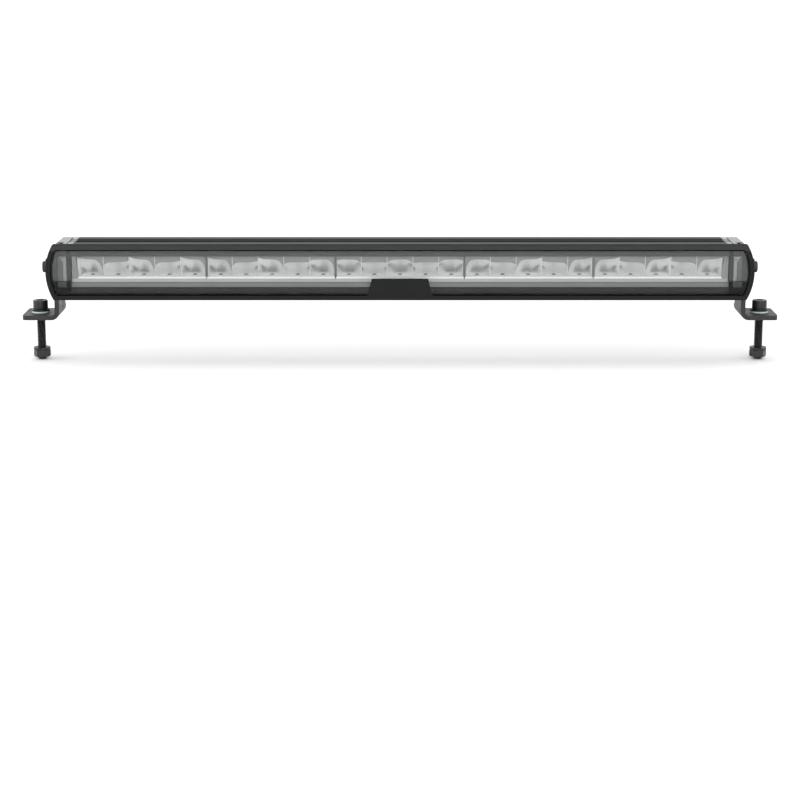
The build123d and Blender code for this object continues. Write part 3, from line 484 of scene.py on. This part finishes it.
def cupColumns(look, middle, half):
    # For each column of points, with t from -1 to 1 over a cup: its place, the height of its front edge,
    # top + (side - top) |t|^power, and its depth, D (1 - (1 - ridge) |t|^depthPower)
    places, heights, depths = [], [], []
    t = np.linspace(-1, 1, look["across"])
    lastCell = look["cells"] - 1
    for cell in range(look["cells"]):
        tall = cell % 2 == 0
        top = look["tall"] if tall else look["low"]
        centre = middle + (cell - lastCell / 2) * look["cellPitch"]
        x = centre + t * look["cellPitch"] / 2 * look["share"]
        side = []
        for sign in (-1, 1):
            outer = sign * centre >= -look["hair"]
            atEnd = cell == (0 if sign < 0 else lastCell)
            side.append(sideHeight(look, tall, outer, atEnd, centre + sign * look["cellPitch"] / 2))
        sides = np.where(t < 0, side[0], side[1])
        power = np.where(sides > top, look["raisedPower"], look["tallPower"] if tall else look["lowPower"])
        places.append(np.clip(x, middle - half + look["endWall"], middle + half - look["endWall"]))
        heights.append(top + (sides - top) * np.abs(t) ** power)
        depths.append(look["depth"] * (1 - (1 - look["ridge"]) * np.abs(t) ** look["depthPower"]))
    return tuple(np.concatenate(part) for part in (places, heights, depths))


def wallPlaces(look, half, outermost):
    # Distances of an end wall's rings from the module's middle; the row's outermost wall is wide
    edge = half + (look["sideBlock"] if outermost else 0)
    face = half + look["blockStep"] if outermost else half - look["wallFace"]
    return np.array([edge, edge - look["lightEdge"], face, half - look["endWall"]])


def makeReflector(look, number):
    # Ring at each column: along the cup (y = front + D (1 - s^2), z = floor + height s), then up the back,
    # over the top and down to the lip
    node = f"reflector_{number}"
    low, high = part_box(node)
    middle = (low.x + high.x) / 2
    half = (high.x - low.x) / 2
    first = number == 1
    last = number == look["modules"]
    x, height, depth = cupColumns(look, middle, half)
    # solid walls at both ends, where the cup is closed; the row's outermost ones stand on the shelf
    leftWall = middle - wallPlaces(look, half, first)
    rightWall = middle + wallPlaces(look, half, last)[::-1]
    walled = len(leftWall)
    x = np.concatenate([leftWall, x, rightWall])
    closedCup = np.full(walled, 2 * look["hair"])
    height, depth = (np.concatenate([closedCup, part, closedCup]) for part in (height, depth))
    floor = np.full(len(x), low.z)
    floor[np.abs(x - middle) > half] = shelfTop + look["blockGap"]
    # flutes: a cosine along the bar, times 4 s (1 - s), which fades at the top and the bottom of the cup
    s = np.linspace(1, 0, look["deep"])
    ripple = look["fluteHeight"] * np.cos(2 * np.pi * look["flutes"] * (x - middle) / (look["cellPitch"] / 2))
    y = low.y + depth[:, None] * (1 - s ** 2)
    z = floor[:, None] + np.maximum(height[:, None] * s + ripple[:, None] * s * (1 - s) * 4, 0)
    lipTop = np.minimum(z[:, 0] + look["lip"], high.z - look["hair"])
    lip = np.stack([np.full(len(x), low.y), lipTop], -1)[:, None]
    outside = np.tile(np.array([(high.y, low.z), (high.y, high.z), (low.y, high.z)]), (len(x), 1, 1))
    outside[:, 0, 1] = floor
    path = np.concatenate([np.stack([y, z], -1), outside, lip], 1)
    rings = np.concatenate([np.broadcast_to(x[:, None, None], path.shape[:2] + (1,)), path], -1)
    # the side of the outermost cup leans outwards as it rises
    if first or last:
        side = 1 if last else -1
        reach = look["flareReach"] * look["cellPitch"]
        near = np.clip(1 - np.abs(x - (middle + side * half)) / reach, 0, 1)
        near[:walled - 1] = 0
        near[1 - walled:] = 0
        rings[..., 0] += side * look["flare"] * near[:, None] * (rings[..., 2] - low.z) / look["horn"]
    points, quads, fans = skin(rings, rings[0].mean(0), rings[-1].mean(0))
    # finishes by number: light walls between the cups, and a light band on the side nearest to the bar's end
    mirror, flange, white, block = range(4)
    ringFinish = np.where(np.arange(rings.shape[1]) < look["deep"] - 1, mirror, flange)
    numbers = np.tile(ringFinish, (len(x) - 1, 1))
    numbers[walled - 1 + look["across"] * np.arange(1, look["cells"])] = white
    centreModule = (look["modules"] + 1) // 2
    if number < centreModule:
        numbers[walled - 1:walled + 2] = white
    if number > centreModule:
        numbers[-walled - 2:1 - walled] = white
    if first or last:
        numbers[0 if first else -1] = block
    finishList = [finishes[name] for name in ("mirrorCup", "flangeGrey", "whiteEdge", "guidePlastic")]
    skins = [(points, quads, fans, numbers.ravel(), flange)]
    standFor(makePiece(f"reflector_cups_{number}", skins, finishList), [node], "lamp")


for number in range(1, cupLook["modules"] + 1):
    makeReflector(cupLook, number)
print("reflector cups made")


# LED packages: a square ceramic base with a phosphor dome
packageLook = {
    "half": 1.8 * mm, "base": .45 * mm, "squareness": 8,
    "dome": 1.45 * mm, "rise": .33 * mm, "rim": 1.04,      # the rim is a share of the dome's radius
    "domeSteps": (1.0, .92, .75, .5, .25), "around": 24,
}


def makePackages(look):
    # Base ring: superellipse (|cos|^p + |sin|^p)^(-1/p); dome: z = base + rise * sqrt(1 - (r / dome)^2)
    low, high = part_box("led_chips")
    angle = np.linspace(0, 2 * np.pi, look["around"], endpoint=False)
    one = np.ones(look["around"])
    power = look["squareness"]
    total = np.abs(np.cos(angle)) ** power + np.abs(np.sin(angle)) ** power
    square = look["half"] * total ** (-1 / power)
    share = np.array(look["domeSteps"])
    base = [(square, 0), (square, look["base"]), (look["dome"] * look["rim"] * one, look["base"])]
    radii = np.vstack([*(row[0] for row in base), *(look["dome"] * part * one for part in share)])
    domeHeights = look["base"] + look["rise"] * np.sqrt(1 - share ** 2)
    heights = np.concatenate([[row[1] for row in base], domeHeights])
    heights = np.repeat(heights[:, None], look["around"], 1)
    body, phosphor = range(2)
    count = cupLook["cells"] * cupLook["modules"]
    middle = (low.y + high.y) / 2
    skins = []
    for place in (np.arange(count) - (count - 1) / 2) * cupLook["cellPitch"]:
        points, quads, fans = turned(radii, heights, (place, middle, low.z), (0, 0, 1))
        inDome = np.arange(len(quads)) // look["around"] >= len(base) - 1
        skins.append((points, quads, fans, np.where(inDome, phosphor, body), phosphor))
    piece = makePiece("led_packages", skins, [finishes["ledBody"], finishes["phosphor"]])
    standFor(piece, ["led_chips"], "lamp")


makePackages(packageLook)
print("led packages made")


# Light guides: an upright bar with prism ridges on its face and an ear at both ends
guideLook = {
    "bar": 2.9 * mm, "earHeight": 4.8 * mm, "corner": .35 * mm, "sharpAngle": 20,
    "ridgePitch": 1.1 * mm, "ridge": .3 * mm, "rings": 148,
}


def makeGuides(look):
    # Rings up the bar: the outer side steps out by ear * (|z| - z0) / earHeight in the ears, and the face
    # goes in by a zigzag
    across = np.array([0, .08, .5, .92, 1, 1, .5, 0])
    bevelled = np.array([1, 0, 0, 0, 1, 0, 0, 0])
    atFace = np.array([1, 1, 1, 1, 1, 0, 0, 0])
    for name, side in (("left", -1), ("right", 1)):
        low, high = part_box(f"{name}_light_guide")
        inner = min(abs(low.x), abs(high.x))
        ear = max(abs(low.x), abs(high.x)) - inner - look["bar"]
        z = np.linspace(low.z, high.z, look["rings"])
        rise = np.abs(z - (low.z + high.z) / 2) - ((high.z - low.z) / 2 - look["earHeight"])
        outer = inner + look["bar"] + ear * np.clip(rise / look["earHeight"], 0, 1)
        zigzag = look["ridge"] * np.abs(2 * (z / look["ridgePitch"] % 1) - 1)
        x = side * (inner + across * (outer - inner)[:, None])
        y = np.where(atFace, low.y + zigzag[:, None] + look["corner"] * bevelled, high.y)
        rings = np.stack([x, y, np.repeat(z[:, None], len(across), 1)], -1)
        points, quads, fans = skin(rings, rings[0].mean(0), rings[-1].mean(0))
        piece = makePiece(f"{name}_guide_ridged", [(points, quads, fans, 0, 0)],
                          [finishes["guidePlastic"]], look["sharpAngle"])
        standFor(piece, [f"{name}_light_guide"], "lamp")


makeGuides(guideLook)


# Dome nut of the cable gland, with grip ribs
nutLook = {
    "outside": 8.25 * mm, "footBevel": .6 * mm, "ribs": 12, "ribDepth": .7 * mm, "ribPower": 6,
    "ribFoot": .5 * mm, "ribStep": .1 * mm, "ribFull": .8 * mm,
    "ribEnd": 5.4 * mm, "ribBevel": .15 * mm, "bevelEnd": 5.0 * mm,         # distances back from the mouth
    "shoulderDrop": .9 * mm, "shoulder": 4.6 * mm,
    "dome": 4.2 * mm, "domeRings": 9, "crown": 1.2 * mm,
    "mouth": 3.7 * mm, "mouthBevel": .5 * mm, "mouthEdge": .1 * mm, "mouthDepth": .6 * mm,
    "cavity": 6.45 * mm, "cavityEnd": 11.3 * mm, "sealGap": .05 * mm,       # room for the gland's seal
    "around": 144,
}


def makeDomeNut(look):
    # A closed profile turned about the gland: on the grip r = outside - ribDepth * |cos(ribs a / 2)|^ribPower;
    # then a shoulder, a dome, r = crown + (shoulder - crown) cos(t), and back through the mouth and the cavity
    low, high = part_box("gland_dome_nut")
    origin = ((low.x + high.x) / 2, low.y, (low.z + high.z) / 2)
    length = high.y - low.y
    angle = np.linspace(0, 2 * np.pi, look["around"], endpoint=False)
    one = np.ones(look["around"])
    wave = np.abs(np.cos(look["ribs"] * angle / 2))
    grip = look["outside"] - look["ribDepth"] * wave ** look["ribPower"]
    shoulder = look["outside"] - look["shoulderDrop"]
    turn = np.linspace(0, np.pi / 2, look["domeRings"])[1:]
    domeRadii = look["mouth"] + look["crown"] + (shoulder - look["mouth"] - look["crown"]) * np.cos(turn)
    domeHeights = length - look["dome"] + look["dome"] * np.sin(turn)
    cavityEnd = look["cavityEnd"] + look["sealGap"]
    rows = [
        (look["cavity"] * one, 0),
        ((look["outside"] - look["footBevel"]) * one, 0),
        (grip - look["ribStep"], look["ribFoot"]),
        (grip, look["ribFull"]),
        (grip, length - look["ribEnd"]),
        (grip - look["ribBevel"], length - look["bevelEnd"]),
        (shoulder * one, length - look["shoulder"]),
        (shoulder * one, length - look["dome"]),
        *((radius * one, height) for radius, height in zip(domeRadii, domeHeights)),
        ((look["mouth"] + look["mouthBevel"]) * one, length - look["mouthEdge"]),
        (look["mouth"] * one, length - look["mouthDepth"]),
        (look["mouth"] * one, cavityEnd),
        (look["cavity"] * one, cavityEnd),
    ]
    radii = np.vstack([row[0] for row in rows])
    heights = np.repeat(np.array([row[1] for row in rows])[:, None], look["around"], 1)
    points, quads, fans = turned(radii, heights, origin, (0, 1, 0), closed=True)
    piece = makePiece("gland_nut_ribbed", [(points, quads, fans, 0, 0)], [finishes["glandPlastic"]])
    standFor(piece, ["gland_dome_nut"], "lamp")


makeDomeNut(nutLook)
print("light guides and gland nut made")


# Socket-head screws with knurled heads and helical threads
m6Look = {"radius": 3.0 * mm, "length": 16 * mm, "pitch": 1.0 * mm, "head": 5.0 * mm, "headHeight": 6 * mm,
          "flats": 5.0 * mm, "washerRadius": 6.0 * mm}
m8Look = {"radius": 4.0 * mm, "length": 45 * mm, "pitch": 1.25 * mm, "head": 6.5 * mm, "headHeight": 8 * mm,
          "flats": 6.0 * mm}
screwShape = {
    "around": 72, "perTurn": 6,                # points round a ring, and rings in one turn of the thread
    "socketFloor": .52, "socketBevel": .25 * mm,       # the floor's height is a share of the head's
    "topDrop": .1 * mm, "chamfer": .45 * mm, "edgeDrop": .12 * mm,      # upper edge of the head
    "knurl": .16 * mm, "knurlTop": .2 * mm, "knurlFoot": .7 * mm,
    "bandTop": .5 * mm, "bandDrop": .1 * mm, "footDrop": .25 * mm,      # plain band under the knurl
    "neck": .4 * mm,                           # plain shank under the head
    "threadDepth": .61, "runOut": 1.5,         # shares of the pitch: depth, and length where the thread fades
    "point": .5 * mm, "pointDrop": .7 * mm, "endRing": .5 * mm,         # bevelled end of the shank
}


def capScrew(look, shape, origin, direction):
    # Socket: r = flats / 2 / cos(a mod 60 - 30). Knurl: the head's radius goes in at every second point.
    # Thread: r falls by a triangle wave of z - pitch * a / 360, which fades at both ends of the shank.
    angle = np.linspace(0, 2 * np.pi, shape["around"], endpoint=False)
    one = np.ones(shape["around"])
    socket = look["flats"] / 2 / np.cos((angle % (np.pi / 3)) - np.pi / 6)
    knurl = look["head"] - shape["knurl"] * (np.arange(shape["around"]) % 2)
    top = look["headHeight"]
    edge = top - shape["chamfer"]
    rows = [
        (socket * .5, top * shape["socketFloor"]),
        (socket, top * shape["socketFloor"]),
        (socket, top - shape["socketBevel"]),
        (socket + shape["socketBevel"], top),
        (one * (look["head"] - shape["chamfer"] - shape["topDrop"]), top),
        (one * (look["head"] - shape["edgeDrop"]), edge),
        (knurl, edge - shape["knurlTop"]),
        (knurl, shape["knurlFoot"]),
        (one * (look["head"] - shape["bandDrop"]), shape["bandTop"]),
        (one * (look["head"] - shape["footDrop"]), 0),
        (one * look["radius"], 0),
        (one * look["radius"], -shape["neck"]),
    ]
    length = look["length"]
    pitch = look["pitch"]
    z = np.linspace(-shape["neck"], -length + shape["point"], int(length / pitch * shape["perTurn"]))
    turns = ((z[:, None] - pitch * angle / (2 * np.pi)) / pitch) % 1
    fromEnd = np.minimum(-z - shape["neck"], z + length)
    fade = np.clip(fromEnd / (shape["runOut"] * pitch), 0, 1)[:, None]
    thread = look["radius"] - shape["threadDepth"] * pitch * np.abs(2 * turns - 1) * fade
    end = [(look["radius"] - shape["pointDrop"]) * one, shape["endRing"] * one]
    radii = np.vstack([*(row[0] for row in rows), thread, *end])
    heights = np.concatenate([[row[1] for row in rows], z, [-length] * len(end)])
    heights = np.repeat(heights[:, None], shape["around"], 1)
    return (*turned(radii, heights, origin, direction), 0, 0)


def makeScrews():
    # The M6 screws stand at the middles of their washers, and their heads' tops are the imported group's ends
    low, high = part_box("m6_screws")
    nylonLow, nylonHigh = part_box("m6_nylon_washers")
    seat = high.x - m6Look["headHeight"]
    skins = []
    for side in (-1, 1):
        for y in (nylonLow.y + m6Look["washerRadius"], nylonHigh.y - m6Look["washerRadius"]):
            skins.append(capScrew(m6Look, screwShape, (side * seat, y, (low.z + high.z) / 2), (side, 0, 0)))
    piece = makePiece("m6_screws_threaded", skins, [finishes["blackSteel"]])
    standFor(piece, ["m6_screws"], "lamp")
    for name in ("left", "right"):
        low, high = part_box(f"{name}_m8_screw")
        origin = ((low.x + high.x) / 2, (low.y + high.y) / 2, high.z - m8Look["headHeight"])
        screw = capScrew(m8Look, screwShape, origin, (0, 0, 1))
        piece = makePiece(f"{name}_m8_screw_threaded", [screw], [finishes["blackSteel"]])
        standFor(piece, [f"{name}_m8_screw"], f"{name}_bracket")


makeScrews()
print("screws made")


# Studio: a pale dish for a floor, white surroundings and soft lamps
studioLook = {
    "radius": 7.0, "flat": 3.5, "rise": 3.0, "hub": .2, "below": .3 * mm,
    "flatRings": 8, "riseRings": 17, "around": 64, "world": 1.06,
    "paper": dict(dark=(.95, .95, .95), light=(.97, .97, .97), patch=2, rough=(.85, .9),
                  grain=60, bump=.02, sockets={"Specular IOR Level": .1}),
}
softLamps = [
    # name, place, size, watts
    ("overhead", (0, -.5, 2.2), 2.4, 9),
    ("front", (.4, -2.6, 1.5), 1.6, 30),
    ("leftSide", (-2.4, -.6, 1.0), 1.4, 14),
]


def makeFloor(look):
    # Floor dish: z = floor + rise * ((r - flat) / (radius - flat))^2 beyond the flat part, a fan in its hub
    floor = float(cadBounds[0][2]) - look["below"]
    flatPart = np.linspace(look["hub"], look["flat"], look["flatRings"])
    risingPart = np.linspace(look["flat"], look["radius"], look["riseRings"])[1:]
    radius = np.concatenate([flatPart, risingPart])
    beyond = np.maximum(radius - look["flat"], 0) / (look["radius"] - look["flat"])
    height = floor + look["rise"] * beyond ** 2
    angle = np.linspace(0, 2 * np.pi, look["around"], endpoint=False)
    grid = np.stack([radius[:, None] * np.cos(angle), radius[:, None] * np.sin(angle),
                     np.repeat(height[:, None], look["around"], 1)], -1)
    points, quads, fans = skin(grid, (0, 0, floor), (0, 0, floor))
    mesh = bpy.data.meshes.new("studio_floor")
    mesh.from_pydata(points[:-1].tolist(), [], quads.tolist() + fans[:look["around"]].tolist())
    mesh.polygons.foreach_set("use_smooth", np.ones(len(mesh.polygons), bool))
    mesh.materials.append(makeFinish("studioPaper", look["paper"]))
    dish = bpy.data.objects.new("studio_floor", mesh)
    bpy.context.scene.collection.objects.link(dish)


def makeLight(look):
    # White surroundings, and square lamps that all face the middle of the bezel
    world = bpy.data.worlds.new("surroundings")
    bpy.context.scene.world = world
    world.use_nodes = True
    background = world.node_tree.nodes["Background"]
    background.inputs["Color"].default_value = (1, 1, 1, 1)
    background.inputs["Strength"].default_value = look["world"]
    aim = Vector((0, lampFront, lampMiddle.z))
    for name, place, size, watts in softLamps:
        light = bpy.data.objects.new(name, bpy.data.lights.new(name, "AREA"))
        light.data.size = size
        light.data.energy = watts
        light.location = place
        light.rotation_euler = (aim - light.location).to_track_quat("-Z", "Y").to_euler()
        bpy.context.scene.collection.objects.link(light)
    bpy.context.scene.view_settings.view_transform = "Standard"


makeFloor(studioLook)
makeLight(studioLook)
print("studio made")
